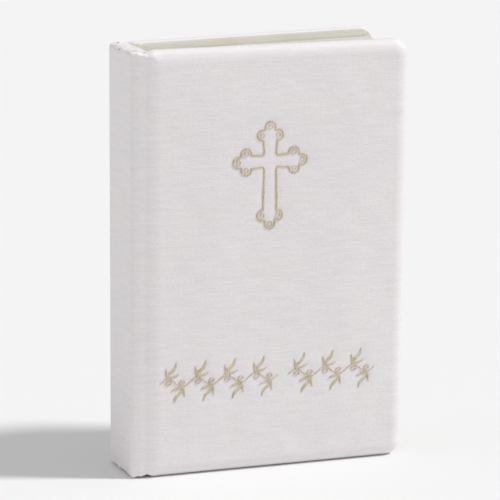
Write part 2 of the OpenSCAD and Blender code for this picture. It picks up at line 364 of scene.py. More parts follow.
def silkMaterial(name, light, dark):
    mat, nodes, links, shader = newMaterial(name, silkLook["roughness"])
    long = coords(nodes, links, "UV", (95.0, 640.0, 1.0))
    short = coords(nodes, links, "UV", (330.0, 1300.0, 1.0))
    plain = coords(nodes, links, "UV")
    slub = noiseMap(nodes, links, long, 1.0, 4.0, 0.62)
    fine = noiseMap(nodes, links, short, 1.0, 3.0, 0.6)
    cloud = noiseMap(nodes, links, plain, 55.0, 3.0, 0.5)
    warp = waves(nodes, links, plain, 620.0, "X", 2.0)
    weft = waves(nodes, links, plain, 560.0, "Y", 2.5)
    mottle = noiseMap(nodes, links, plain, 900.0, 3.0, 0.6)
    mixed = sumMap(nodes, links, [(slub, 0.55), (mottle, 0.45)])
    tone = ramp(nodes, links, mixed, [(0.36, dark), (0.6, light)])
    cast = ramp(nodes, links, cloud, [(0.3, (1.0, 0.985, 0.975)), (0.7, (0.985, 0.98, 1.0))])
    shaded = multiplied(nodes, links, 0.8, tone, cast)
    thread = ramp(nodes, links, weft, [(0.0, (0.93, 0.93, 0.93)), (0.6, (1.0, 1.0, 1.0))])
    links.new(multiplied(nodes, links, 0.3, shaded, thread), shader.inputs["Base Color"])
    height = sumMap(nodes, links, [(slub, 0.7), (fine, 0.6), (mottle, 0.6), (warp, 0.06), (weft, 0.1)])
    bump(nodes, links, shader, height, silkLook["slubHeight"])
    rough = ramp(nodes, links, fine, [(0.3, (0.42, 0.42, 0.42)), (0.7, (0.62, 0.62, 0.62))])
    links.new(rough, shader.inputs["Roughness"])
    shader.inputs["Sheen Weight"].default_value = silkLook["sheen"]
    shader.inputs["Sheen Roughness"].default_value = 0.35
    shader.inputs["Sheen Tint"].default_value = (1.0, 0.97, 0.96, 1.0)
    return mat


def paperMaterial(name, light, dark, fibre=900.0):
    mat, nodes, links, shader = newMaterial(name, 0.8)
    here = coords(nodes, links, "Object")
    cloud = noiseMap(nodes, links, here, 60.0, 4.0, 0.55)
    grain = noiseMap(nodes, links, here, fibre, 3.0, 0.65)
    tone = ramp(nodes, links, cloud, [(0.3, dark), (0.68, light)])
    speck = ramp(nodes, links, grain, [(0.25, (0.95, 0.94, 0.92)), (0.55, (1.0, 1.0, 1.0))])
    links.new(multiplied(nodes, links, 0.7, tone, speck), shader.inputs["Base Color"])
    bump(nodes, links, shader, grain, 0.03)
    shader.inputs["Specular IOR Level"].default_value = 0.3
    return mat


def weaveMaterial(name, light, dark, pitch):
    # a plain weave by crossed wave bands, pitch in mm
    mat, nodes, links, shader = newMaterial(name, 0.85)
    here = coords(nodes, links, "Object")
    scale = 0.157 / (pitch * mm)  # a wave band's own length is 0.157 at scale 1
    warp = waves(nodes, links, here, scale, "Y", 0.6)
    weft = waves(nodes, links, here, scale, "Z", 0.6)
    cross = waves(nodes, links, here, scale, "X", 0.6)
    cloth = sumMap(nodes, links, [(warp, 0.34), (weft, 0.33), (cross, 0.33)])
    cloud = noiseMap(nodes, links, here, 300.0, 3.0)
    tone = ramp(nodes, links, cloth, [(0.25, dark), (0.7, light)])
    patch = ramp(nodes, links, cloud, [(0.3, (0.93, 0.92, 0.9)), (0.7, (1.0, 1.0, 1.0))])
    links.new(multiplied(nodes, links, 0.8, tone, patch), shader.inputs["Base Color"])
    bump(nodes, links, shader, cloth, 0.12)
    shader.inputs["Sheen Weight"].default_value = 0.15
    return mat


def boardMaterial(name, light, dark):
    mat, nodes, links, shader = newMaterial(name, 0.88)
    here = coords(nodes, links, "Object")
    flecks = noiseMap(nodes, links, here, 1400.0, 4.0, 0.7)
    cloud = noiseMap(nodes, links, here, 90.0, 3.0)
    tone = ramp(nodes, links, flecks, [(0.3, dark), (0.62, light)])
    patch = ramp(nodes, links, cloud, [(0.3, (0.9, 0.9, 0.9)), (0.7, (1.0, 1.0, 1.0))])
    links.new(multiplied(nodes, links, 1.0, tone, patch), shader.inputs["Base Color"])
    bump(nodes, links, shader, flecks, 0.08)
    return mat


def threadMaterial(name, light, dark, sheen=0.2):
    # satin thread: fine twist along each stitch, read from the stitch's own map
    mat, nodes, links, shader = newMaterial(name, 0.34)
    along = coords(nodes, links, "UV")
    here = coords(nodes, links, "Object")
    twist = waves(nodes, links, along, 0.9, "DIAGONAL", 0.8)
    patch = noiseMap(nodes, links, here, 700.0, 3.0, 0.6)
    tone = ramp(nodes, links, patch, [(0.3, dark), (0.68, light)])
    shade = ramp(nodes, links, twist, [(0.0, (0.82, 0.80, 0.78)), (0.55, (1.0, 1.0, 1.0))])
    links.new(multiplied(nodes, links, 0.6, tone, shade), shader.inputs["Base Color"])
    bump(nodes, links, shader, twist, 0.03)
    shader.inputs["Specular IOR Level"].default_value = 0.55
    shader.inputs["Sheen Weight"].default_value = sheen
    shader.inputs["Sheen Roughness"].default_value = 0.3
    return mat


def waddingMaterial(name, light, dark):
    mat, nodes, links, shader = newMaterial(name, 0.95)
    here = coords(nodes, links, "Object")
    tuft = noiseMap(nodes, links, here, 420.0, 6.0, 0.7)
    tone = ramp(nodes, links, tuft, [(0.3, dark), (0.65, light)])
    links.new(tone, shader.inputs["Base Color"])
    bump(nodes, links, shader, tuft, 0.5)
    shader.inputs["Sheen Weight"].default_value = 0.4
    return mat


silk = silkMaterial("white slubbed silk", silkLook["light"], silkLook["dark"])
# a lit copy of the silk with painted cream bounce light, used on the turned-in cloth
silkInsidePaintedBounce = silkMaterial("turned in silk painted bounce", silkLook["insideLight"], silkLook["insideDark"])
pagePaper = paperMaterial("page paper", *paperLook["page"])
endPaper = paperMaterial("cream endpaper", *paperLook["end"])
kraft = paperMaterial("brown kraft paper", *paperLook["kraft"], paperLook["kraftFibre"])
greyBoard = boardMaterial("grey board", *paperLook["board"])
mullCloth = weaveMaterial("open mull", *threadLook["mull"], threadLook["mullPitch"])
bandCloth = threadMaterial("band silk", *threadLook["band"])
linen = threadMaterial("linen thread", *threadLook["linen"], threadLook["linenSheen"])
goldThread = threadMaterial("pale gold thread", *threadLook["gold"])
wadding = waddingMaterial("cotton wadding", *waddingLook)
print("materials made")


# case silk, one cloth round the book in three pieces
caseForm = {
    "cutAt": 7.5,
    "boardFront": 9.1,
    "boardBack": 9.6,
    "slopeDepth": 2.6,
    "slopeEnd": 10.5,
    "dipFloor": 4.6,
    "dipEnd": 8.8,
    "dipDepth": 0.6,
    "softReach": 4.8,
    "softShare": 0.66,
    "innerReach": 0.85,
    "spineReach": 1.5,
    "spineThick": 4.2,
    "jointThick": 2.2,
    "jointReach": 0.9,
    "jointDrop": 0.8,
    "toJoint": (2.0, 1.8),
    "toCover": (4.4, 3.0),
    "toSoft": (5.2, 6.0),
    "dropBegins": (2.4, 2.0),
    "dropEnds": (5.4, 3.0),
    "corner": 6.0,
    "crown": 0.65,
    "crownFrom": 7.5,
    "crownReach": 26.0,
    "turnIn": 12.0,
    "spineTurnIn": 1.4,
    "turnInGrows": (2.0, 3.5),
    "cornerTurnIn": 5.4,
    "cornerField": 22.0,
    "foldAt": 47.0,
    "foldBefore": 22.0,
    "foldAfter": 5.0,
    "foldHeight": 0.55,
    "gather": 0.6,
    "gatherEnds": (5.5, 3.0),
    "gatherDeep": (1.2, 3.5),
    "drawDown": 0.15,
    "drawReach": 1.1,
    "cloth": 0.35,
    "bendStart": 3.2,
    "bendEnd": 6.6,
}


def dipDepth(x, front):
    # the ajar front cover draws its joint into a slope, the shut back one keeps a shallow groove
    f = caseForm
    if front:
        return f["slopeDepth"] * np.clip(1 - x / f["slopeEnd"], 0, 1) ** 1.7
    t = np.clip((x - f["dipFloor"]) / (f["dipEnd"] - f["dipFloor"]), 0, 1)
    return f["dipDepth"] * (1 + np.cos(np.pi * t)) / 2


def crownRise(x, z):
    # the cover's face stands a little higher toward its middle
    f = caseForm
    nearX = np.minimum(x - f["crownFrom"], book["fore"] - x)
    nearZ = np.minimum(z, book["tall"] - z)
    return f["crown"] * ease(nearX / f["crownReach"]) * ease(nearZ / f["crownReach"])


def localForm(x):
    # how thick the case is and how softly its edge turns, from the spine over the joint to the cover
    f = caseForm
    toJoint = risen(x, f["toJoint"])
    toCover = risen(x, f["toCover"])
    toSoft = risen(x, f["toSoft"])
    thick = f["spineThick"] * (1 - toJoint) + f["jointThick"] * toJoint
    thick = thick * (1 - toCover) + book["cover"] * toCover
    reach = f["spineReach"] * (1 - toJoint) + f["jointReach"] * toJoint
    reach = reach * (1 - toSoft) + f["softReach"] * toSoft
    outer = thick * f["softShare"]
    inner = np.minimum(f["innerReach"], thick - outer)
    drop = f["jointDrop"] * risen(x, f["dropBegins"]) * (1 - risen(x, f["dropEnds"]))
    return thick, reach, outer, inner, drop


faceSteps = 8  # steps of the soft outer round
innerStep = 12  # from here the cloth lies turned in


def ringSteps(form, lip):
    # (inset from the edge, depth) from the face over the edge to the end of the turn-in
    thick, reach, outer, inner, drop = form
    steps = []
    for t in np.linspace(0, math.pi / 2, faceSteps + 1)[1:]:
        steps.append((reach * (1 - math.sin(t)), outer * (1 - math.cos(t))))
    for t in np.linspace(0, math.pi / 2, 6)[1:]:
        steps.append((inner * (1 - math.cos(t)), outer + (thick - outer) * math.sin(t)))
    for share in (0.08, 0.16, 0.26, 0.4, 0.65, 1.0):
        steps.append((inner + (lip - inner) * share, thick))
    return steps


def clothRows(step):
    # the share of the height at each row, closer where the corners are round
    f = caseForm
    r = f["corner"] - f["softReach"]
    span = book["tall"] - 2 * f["softReach"]
    middle = int(round((span - 2 * r) / step))
    low = np.linspace(0, r, 6)[:-1]
    high = np.linspace(span - r, span, 6)[1:]
    rows = np.concatenate([low, np.linspace(r, span - r, middle), high])
    return rows / rows[-1]


def roundCover(grid):
    # rounds the two fore-edge corners of a cover's grid and gives their centres
    f = caseForm
    r = f["corner"] - f["softReach"]
    cx = book["fore"] - f["softReach"] - r
    centres = []
    for up in (-1, 1):
        cz = f["softReach"] + r if up < 0 else book["tall"] - f["softReach"] - r
        u = (grid["x"] - cx) / r
        v = (grid["flatZ"] - cz) * up / r
        inside = (u > 1e-6) & (v > 1e-6)
        newU, newV = roundCorner(u, v)
        shift = np.where(inside, (newU - u) * r, 0)
        grid["x"] = grid["x"] + shift
        grid["flatX"] = grid["flatX"] + shift
        grid["flatZ"] = np.where(inside, cz + up * newV * r, grid["flatZ"])
        centres.append((cx, cz))
    return centres


def headingAt(x, z, atHead, atFore, centres):
    # the way the cloth leaves the face, and how much its corner fold stands up there
    out = (1.0, 0.0) if atFore else (0.0, 1.0 if atHead else -1.0)
    fold = 0.0
    for cx, cz in centres:
        if x > cx + 1e-4 and abs(z - cz) > 1e-4 and (z > cz) == (cz > book["tall"] / 2):
            away = Vector((x - cx, z - cz)).normalized()
            out = (away.x, away.y)
            past = math.degrees(math.atan2(abs(away.y), away.x)) - caseForm["foldAt"]
            width = caseForm["foldBefore"] if past < 0 else caseForm["foldAfter"]
            fold = max(0.0, 1 - abs(past) / width)
    return out, fold


def turnInAt(fromSpine, x, z):
    # short over the spine's ends and at the fore-edge corners
    f = caseForm
    overSpine = 1 - risen(fromSpine, f["turnInGrows"])
    lip = f["turnIn"] * (1 - overSpine) + f["spineTurnIn"] * overSpine
    near = max(book["fore"] - x, min(z, book["tall"] - z))
    if near < f["cornerField"]:
        lip = min(lip, f["cornerTurnIn"] + max(0.0, near - f["cornerTurnIn"]) * 0.4)
    return lip


def overEdge(grid, plan, forms, r, c, heading):
    # the cloth from one point of the face's rim over the edge to the end of its turn-in
    px, py, nx, ny, along = plan[c]
    x = grid["x"][r, c]
    z = grid["flatZ"][r, c]
    out, fold = heading
    reach = forms[c][1]
    base = x if nx > -0.001 and c > 0 and px > 2.5 else px
    ring = []
    ringUv = []
    travel = 0.0
    last = (reach, 0.0)
    for k, (inset, depth) in enumerate(ringSteps(forms[c], turnInAt(px, x, z))):
        travel += math.hypot(inset - last[0], depth - last[1])
        last = (inset, depth)
        go = reach - inset
        bulge = caseForm["foldHeight"] * fold * risen(k, (faceSteps, 3.0)) * (1 - risen(k, (16, 3.0)))
        qx = base + out[0] * go
        qz = z + out[1] * go
        lift = crownRise(qx, qz) if k < faceSteps else 0.0
        d = depth - lift + bulge
        ring.append((qx - nx * d, py - ny * d, qz))
        ringUv.append((grid["flatX"][r, c] + out[0] * travel, z + out[1] * travel))
    return ring, ringUv


def unevenCloth(points):
    # gathers where the cloth turns in over the spine and the joints, and a slow unevenness over the wadding
    f = caseForm
    tall = book["tall"]
    nearEnd = np.minimum(points[:, 2], tall - points[:, 2])
    gather = (1 - risen(points[:, 0], f["gatherEnds"])) * (1 - risen(nearEnd, f["gatherDeep"]))
    sideways = waver(points * np.array((0.9, 1.0, 0.35)), 0.62, 3.1)
    inwards = np.where(points[:, 2] > tall / 2, -1.0, 1.0) * (waver(points, 0.5, 17.0) + 0.3)
    points[:, 2] += inwards * gather * f["gather"]
    points[:, 2] = np.clip(points[:, 2], f["cloth"] / 2, tall - f["cloth"] / 2)
    points[:, 0] += gather * f["gather"] * 0.7 * sideways
    slow = waver(points, 0.07, 5.0) * 0.16 + waver(points, 0.2, 9.0) * 0.06
    points[:, 1] += slow * risen(points[:, 0], (9, 10)) * risen(nearEnd, (0, 8))


def drawDown(points, stitched):
    # the cloth sinks beside the stitching
    tree = kdtree.KDTree(len(stitched))
    for i, q in enumerate(stitched):
        tree.insert(Vector((q[0], q[1], 0)), i)
    tree.balance()
    for p in points:
        near = tree.find(Vector((p[0], p[2], 0)))[2]
        p[1] -= caseForm["drawDown"] * math.exp(-((near / caseForm["drawReach"]) ** 2))


def buildSilk(name, plan, step, stitched, side, node):
    # plan: rows of x, y outwards, normal x, normal y and length along the cloth
    f = caseForm
    tall = book["tall"]
    forms = [localForm(p[0]) for p in plan]
    share = clothRows(step)
    rows, cols = len(share), len(plan)
    px, py, nx, ny, along = np.array(plan, float).T
    start = np.array([form[1] + form[4] for form in forms])
    grid = {"x": np.tile(px, (rows, 1)), "flatX": np.tile(along, (rows, 1))}
    grid["flatZ"] = start + (tall - 2 * start) * share[:, None]
    isCover = px[-1] > book["fore"] / 2
    centres = roundCover(grid) if isCover else []
    face = np.zeros((rows, cols, 3))
    rise = crownRise(grid["x"], grid["flatZ"])
    face[..., 0] = np.where(nx < -0.001, px, grid["x"]) + nx * rise
    face[..., 1] = py + ny * rise
    face[..., 2] = grid["flatZ"]
    points = [face.reshape(-1, 3)]
    uvs = [np.stack([grid["flatX"], grid["flatZ"]], -1).reshape(-1, 2)]
    faces = gridFaces(rows, cols)
    isInner = [np.zeros(rows * cols, bool)]
    # the way round the open edge: head, fore-edge, tail, or head and tail alone on the spine
    head = [(rows - 1, c) for c in range(cols)]
    fore = [(r, cols - 1) for r in range(rows - 2, 0, -1)]
    tail = [(0, c) for c in range(cols - 1, -1, -1)]
    count = rows * cols
    for run in [head + fore + tail] if isCover else [head, tail]:
        ring = []
        ringUv = []
        for r, c in run:
            x = grid["x"][r, c]
            z = grid["flatZ"][r, c]
            heading = headingAt(x, z, r == rows - 1, isCover and c == cols - 1, centres)
            strip, stripUv = overEdge(grid, plan, forms, r, c, heading)
            ring += strip
            ringUv += stripUv
        steps = len(ring) // len(run)
        isInner.append(np.tile(np.arange(steps) >= innerStep, len(run)))
        points.append(np.array(ring))
        uvs.append(np.array(ringUv))
        for i in range(len(run) - 1):
            a = run[i][0] * cols + run[i][1]
            b = run[i + 1][0] * cols + run[i + 1][1]
            here = count + i * steps
            there = here + steps
            faces.append((a, b, there, here))
            for k in range(steps - 1):
                faces.append((here + k, there + k, there + k + 1, here + k + 1))
        count += len(ring)
    points = np.concatenate(points)
    uvs = np.concatenate(uvs)
    isInner = np.concatenate(isInner)
    unevenCloth(points)
    if stitched:
        drawDown(points[:rows * cols], stitched)
    if side < 0:
        points[:, 1] *= -1
        weight = ease((points[:, 0] - f["bendStart"]) / (f["bendEnd"] - f["bendStart"]))
        points = turned(points, weight, -ajar, hingeX, hingeY)
        uvs[:, 0] *= -1
    else:
        faces = [q[::-1] for q in faces]
    obj = newPiece(name, points, faces, uvs)
    obj.data.materials.append(silk)
    obj.data.materials.append(silkInsidePaintedBounce)
    # the turned-in cloth gets its own creamier, lighter copy of the silk: painted bounce light from the
    # cream pages and painted brightening where little light reaches inside the case
    for poly in obj.data.polygons:
        if all(isInner[i] for i in poly.vertices):
            poly.material_index = 1
    thicken(obj, f["cloth"])
    smooth(obj, 75)
    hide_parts(node)
    return obj


# how the cloth leaves the spine board's edge and lies down on the joint
bendForm = {
    "front": {"landX": 1.0, "leave": 0.9, "arrive": (0.5, 0.2)},
    "back": {"landX": 2.6, "leave": 1.6, "arrive": (1.1, 0.15)},
    "fine": 0.35,
    "fineEnd": 11.0,
}


def planLine(step, front):
    # from the cut on the spine's flat round its edge, over the joint and across the cover
    f = caseForm
    bend = bendForm["front" if front else "back"]
    half = book["half"]
    landX = bend["landX"]
    board = f["boardFront"] if front else f["boardBack"]
    out = []
    for y in np.linspace(f["cutAt"], board, 3):
        out.append([0.0, y, -1.0, 0.0])
    # a curve from the board's edge to the joint
    a = np.array((0.0, board))
    b = a + np.array((0.0, bend["leave"]))
    d = np.array((landX, half - dipDepth(landX, front)))
    c = d - np.array(bend["arrive"])
    for t in np.linspace(0, 1, 15)[1:]:
        p = (1 - t) ** 3 * a + 3 * (1 - t) ** 2 * t * b + 3 * (1 - t) * t * t * c + t ** 3 * d
        v = (1 - t) ** 2 * (b - a) + 2 * (1 - t) * t * (c - b) + t * t * (d - c)
        size = math.hypot(*v)
        out.append([p[0], p[1], -v[1] / size, v[0] / size])
    corner = book["fore"] - f["corner"]
    fineEnd = bendForm["fineEnd"]
    xs = list(np.arange(landX + bendForm["fine"], fineEnd, bendForm["fine"]))
    xs += list(np.linspace(fineEnd, corner, int(round((corner - fineEnd) / step))))
    xs += list(np.linspace(corner, book["fore"] - f["softReach"], 8)[1:])
    for x in xs:
        slope = (dipDepth(x + 0.01, front) - dipDepth(x - 0.01, front)) / 0.02
        size = math.hypot(slope, 1)
        out.append([x, half - dipDepth(x, front), slope / size * 0.999, 1 / size])
    length = f["cutAt"]
    out[0].append(length)
    for a, b in zip(out, out[1:]):
        length += math.hypot(b[0] - a[0], b[1] - a[1])
        b.append(length)
    return out


# embroidery lines on the shut front cover, (x, z) in mm
crossForm = {
    "x": 51.55,
    "z": 116.8,
    "up": 15.0,
    "down": 25.5,
    "side": 14.5,
    "stem": 2.3,
    "arm": 2.1,
    "bud": 1.9,
    "budBack": 2.6,
    "budOut": 1.55,
    "loop": 0.42,
    "loopWide": 0.42,
}
scrollForm = {
    "field": 98.7,
    "z": 36.0,
    "start": 4.0,
    "end": 12.0,
    "waves": (4, 3),
    "gap": 4.5,
    "rise": 1.5,
    "leaf": 6.8,
    "lean": 62.0,
    "fan": 40.0,
    "leafWide": 1.45,
    "curl": 1.5,
}
stitchForm = {
    "wide": 0.95,
    "pitch": 0.27,
    "thick": 0.28,
    "slant": 18.0,
    "shortest": 0.3,
    "bow": 0.26,
    "sink": 0.18,
}


def arc(cx, cy, r, a, b, n):
    turns = [math.radians(t) for t in np.linspace(a, b, n)]
    return [(cx + r * math.cos(t), cy + r * math.sin(t)) for t in turns]


def placed(line, x, z, degrees):
    # a line turned about its own zero and set down at x, z
    c = math.cos(math.radians(degrees))
    s = math.sin(math.radians(degrees))
    return [(x + u * c - v * s, z + u * s + v * c) for u, v in line]


def armLine(reach, half, bud):
    # one arm out along +x: straight side, side bud, tip bud, side bud, straight side
    sideX = reach - crossForm["budBack"] * bud
    sideY = crossForm["budOut"] * bud
    tipX = reach - bud
    startAngle = 180 + math.degrees(math.asin(min(1.0, (sideY - half) / bud)))
    line = [(half + 0.6, half)]
    line += arc(sideX, sideY, bud, startAngle, 180, 3)[1:-1]
    line += arc(sideX, sideY, bud, 180, -22, 14)
    line += arc(tipX, 0, bud, 112, 0, 8)
    mirrored = [(x, -y) for x, y in line[:-1]]
    return line + mirrored[::-1]


def crossArms():
    # (angle, reach, half width) of each arm
    f = crossForm
    across = [(0, f["side"], f["arm"]), (180, f["side"], f["arm"])]
    upright = [(90, f["up"], f["stem"]), (270, f["down"], f["stem"])]
    inset = stitchForm["wide"] / 2
    return [(angle, reach - inset, half) for angle, reach, half in sorted(across + upright)]


def crossLine():
    f = crossForm
    whole = []
    for angle, reach, half in crossArms():
        whole += placed(armLine(reach, half, f["bud"])[::-1], f["x"], f["z"], angle)
    return whole + whole[:1]


def budLoops():
    # a small loop inside each bud of the cross
    f = crossForm
    loops = []
    for angle, reach, half in crossArms():
        back = reach - f["budBack"] * f["bud"]
        out = f["budOut"] * f["bud"]
        for x, y in ((reach - f["bud"], 0), (back, out), (back, -out)):
            ring = arc(x, y, f["bud"] * f["loop"], angle, angle + 360, 14)
            loops.append(placed(ring, f["x"], f["z"], angle))
    return loops


def resample(line, pitch):
    # points at an even pitch along a line, and the way ahead at each
    pts = np.array(line, float)
    size = np.hypot(*(pts[1:] - pts[:-1]).T)
    keep = np.concatenate([[True], size > 1e-6])
    pts = pts[keep]
    size = np.hypot(*(pts[1:] - pts[:-1]).T)
    total = np.concatenate([[0], np.cumsum(size)])
    n = max(2, int(round(total[-1] / pitch)) + 1)
    at = np.linspace(0, total[-1], n)
    out = np.stack([np.interp(at, total, pts[:, 0]), np.interp(at, total, pts[:, 1])], 1)
    ahead = np.gradient(out, axis=0)
    ahead /= np.maximum(np.hypot(ahead[:, 0], ahead[:, 1])[:, None], 1e-9)
    return out, ahead


def swell(thin, wide, t):
    # a stitch's length at share t of its line, fullest in the middle
    return thin + (wide - thin) * math.sin(math.pi * min(1.0, 0.04 + 0.94 * t)) ** 0.8


def leafLine(x, z, length, degrees, bow):
    line = [(length * t, bow * math.sin(2 * math.pi * t)) for t in np.linspace(0, 1, 14)]
    return placed(line, x, z, degrees)


def volute(x, z, big, small, start, end):
    line = []
    for t in np.linspace(0, 1, 40):
        a = math.radians(start + (end - start) * t)
        r = big + (small - big) * t ** 0.7
        line.append((x + r * math.cos(a), z + r * 0.88 * math.sin(a)))
    return line


def sprig(x, z, up):
    # three leaves out from the stem and a curl in the hollow behind them, as (line, thin, wide)
    f = scrollForm
    lean = f["lean"] + (0 if up > 0 else 180)
    small = f["leafWide"] * 0.8
    start = 90 if up > 0 else 270
    return [
        (leafLine(x, z, f["leaf"], lean, 0.4), 0.35, f["leafWide"]),
        (leafLine(x, z, f["leaf"] * 0.66, lean - f["fan"], 0.15), 0.3, small),
        (leafLine(x, z, f["leaf"] * 0.6, lean + f["fan"], 0.15), 0.3, small),
        (volute(x, z - up * f["curl"], f["curl"], 0.5, start, start - 400), 0.35, 0.5),
    ]


def scrollLines():
    # two running vines: a waved stem with a sprig on each crest and in each hollow
    f = scrollForm
    wave = (f["field"] - f["start"] - f["end"] - f["gap"]) / sum(f["waves"])
    found = []
    x0 = book["fore"] - f["field"] + f["start"]
    for count in f["waves"]:
        stem = []
        for t in np.linspace(0, count, count * 24 + 1):
            stem.append((x0 + t * wave, f["z"] + f["rise"] * math.sin(2 * math.pi * t)))
        found.append((stem, 0.5, 0.75))
        for i in range(count):
            for part, up in ((0.25, 1), (0.75, -1)):
                found += sprig(x0 + (i + part) * wave, f["z"] + up * f["rise"], up)
        x0 += count * wave + f["gap"]
    return found


crossOutline = crossLine()
scrollWork = scrollLines()
stitched = []
for line in [crossOutline] + [run[0] for run in scrollWork]:
    stitched += [tuple(p) for p in resample(line, 0.8)[0]]

fineStep = 0.85
plainStep = 1.9
cut = caseForm["cutAt"]
spinePlan = [[0.0, y, -1.0, 0.0, y] for y in np.linspace(-cut, cut, 41)]
frontSilk = buildSilk("frontSilk", planLine(fineStep, True), fineStep, stitched, -1, "front_silk")
backSilk = buildSilk("backSilk", planLine(plainStep, False), plainStep, [], 1, "back_silk")
spineSilk = buildSilk("spineSilk", spinePlan, plainStep, [], 1, "spine_silk")
for obj, y, body in ((frontSilk, -book["half"], "front_cover"), (backSilk, book["half"], "back_cover")):
    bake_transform(obj)
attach(spineSilk, "spine")
print("case silk made")


# one stitch, copied along the lines
def stitchShape():
    bpy.ops.mesh.primitive_cylinder_add(vertices=6, radius=0.5, depth=1.0, end_fill_type="TRIFAN")
    obj = bpy.context.object
    bpy.ops.object.mode_set(mode="EDIT")
    for z in (-0.3, 0.0, 0.3):
        bpy.ops.mesh.select_all(action="SELECT")
        bpy.ops.mesh.bisect(plane_co=(0, 0, z), plane_no=(0, 0, 1))
    bpy.ops.object.mode_set(mode="OBJECT")
    return takeMesh(obj)


stitchPoints, stitchFaces = stitchShape()


def onCover(x, z):
    # the stitches sink a little into the cloth
    return book["half"] - dipDepth(x, True) + crownRise(x, z) - stitchForm["sink"]


def sew(name, runs, seed, node):
    # runs: (line, thin, wide)
    rng = np.random.default_rng(seed)
    f = stitchForm
    q = stitchPoints
    bow = (1 - (q[:, 2] * 2) ** 2) * f["bow"]
    allPoints = []
    allFaces = []
    allUv = []
    count = 0
    for line, thin, wide in runs:
        at, ahead = resample(line, f["pitch"])
        for i, (p, d) in enumerate(zip(at, ahead)):
            t = i / max(1, len(at) - 1)
            lean = math.radians(f["slant"] + rng.normal(0, 2.5))
            across = np.array((-d[1], d[0])) * math.cos(lean) + d * math.sin(lean)
            length = max(f["shortest"], swell(thin, wide, t) + rng.normal(0, 0.05))
            thick = f["thick"] * rng.uniform(0.9, 1.12)
            u = q[:, 2] * length
            v = q[:, 0] * thick
            up = q[:, 1] * thick * 0.75 + bow + rng.uniform(0, 0.05)
            x = p[0] + across[0] * u + across[1] * v
            z = p[1] + across[1] * u - across[0] * v
            allPoints.append(np.stack([x, -onCover(x, z) - up, z], 1))
            allUv.append(np.stack([q[:, 2] * 3 * length + count, q[:, 0] * 2], 1))
            allFaces += [tuple(k + count * len(q) for k in face) for face in stitchFaces]
            count += 1
    points = np.concatenate(allPoints)
    points = turned(points, np.ones(len(points)), -ajar, hingeX, hingeY)
    obj = newPiece(name, points, allFaces, np.concatenate(allUv) / mm)
    pick(obj)
    bpy.ops.object.mode_set(mode="EDIT")
    bpy.ops.mesh.select_all(action="SELECT")
    bpy.ops.mesh.normals_make_consistent(inside=False)
    bpy.ops.object.mode_set(mode="OBJECT")
    dress(obj, 60, goldThread, node)
    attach(obj, "front_cover")
    print(name, count, "stitches")


crossWork = [(crossOutline, stitchForm["wide"], stitchForm["wide"])]
for loop in budLoops():
    crossWork.append((loop, crossForm["loopWide"], crossForm["loopWide"]))
sew("crossEmbroidery", crossWork, 11, "cross_embroidery")
sew("scrollEmbroidery", scrollWork, 12, "scroll_embroidery")


# stiff board inside the spine
spineBoardForm = {"y": (-9.0, 9.5), "short": 0.6, "soft": 0.2}


def buildSpineBoard():
    f = spineBoardForm
    x, y, z = bookBox("spine_board")
    obj = addBox(x, f["y"], (z[0] + f["short"], z[1] - f["short"]))
    bevelEdges(obj, everyEdge, f["soft"], 3)
    board = newPiece("spineBoard", *takeMesh(obj))
    dress(board, 40, greyBoard, "spine_board")
    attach(board, "spine")


buildSpineBoard()


# the cloth gathered over the spine's ends, between the board and the block
capForm = {
    "x": (0.9, 6.8),
    "y": (-9.2, 10.4),
    "deep": 0.95,
    "down": 0.42,
    "soft": 0.42,
    "grain": 0.28,
    "gather": 0.22,
}


def buildCap(name, atHead):
    f = capForm
    start = book["tall"] - f["down"] - f["deep"] if atHead else f["down"]
    obj = addBox(f["x"], f["y"], (start, start + f["deep"]))
    bevelEdges(obj, everyEdge, f["soft"], 3)
    evenMesh(obj, f["grain"])
    pts, faces = takeMesh(obj)
    pts[:, 2] += f["gather"] * waver(pts * np.array((0.5, 1.5, 0.3)), 0.5, 23.0)
    cap = newPiece(name, pts, faces, np.stack([pts[:, 1], pts[:, 0] + pts[:, 2]], 1))
    dress(cap, 60, silk)
    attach(cap, "spine")


buildCap("headCap", True)
buildCap("tailCap", False)
print("spine board and caps made")


# wadding under the silk of each cover
padForm = {
    "inset": 0.9,
    "corner": 5.0,
    "soft": 2.2,
    "grain": 0.9,
    "crownShare": 0.9,
    "uneven": 0.12,
}


def buildPad(name, node, side, body):
    f = padForm
    x, y, z = bookBox("back_padding")
    x0, x1 = x[0] + f["inset"], x[1] - f["inset"]
    yIn, yOut = y
    obj = addBox((x0, x1), y, (z[0] + f["inset"], z[1] - f["inset"]))
    bevelEdges(obj, lambda a, b: min(a.x, b.x) > x1 - 0.01 and abs(a.y - b.y) > 1, f["corner"], 8)
    bevelEdges(obj, lambda a, b: min(a.y, b.y) > yOut - 0.01, f["soft"], 5)
    evenMesh(obj, f["grain"])
    pts, faces = takeMesh(obj)
    top = ease((pts[:, 1] - yIn) / (yOut - yIn))
    pts[:, 1] += top * crownRise(pts[:, 0], pts[:, 2]) * f["crownShare"]
    pts[:, 1] -= top * f["uneven"] * (1 + waver(pts, 0.35, 31.0))
    if side < 0:
        pts[:, 1] *= -1
        pts = turned(pts, np.ones(len(pts)), -ajar, hingeX, hingeY)
        faces = [q[::-1] for q in faces]
    pad = newPiece(name, pts, faces)
    dress(pad, 60, wadding, node)
    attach(pad, body)


buildPad("frontWadding", "front_padding", -1, "front_cover")
buildPad("backWadding", "back_padding", 1, "back_cover")
print("wadding made")


# leaves of the ten sections
leafForm = {
    "count": 6,
    "thick": 0.185,
    "bend": 12.0,
    "across": 14,
    "up": 4,
    "clear": 0.05,
    "trim": 0.02,
    "sideways": 0.012,
    "uneven": 0.16,
    "foreUneven": 1.4,
    "outerRatio": 0.45,
    "ratioStep": 0.09,
}


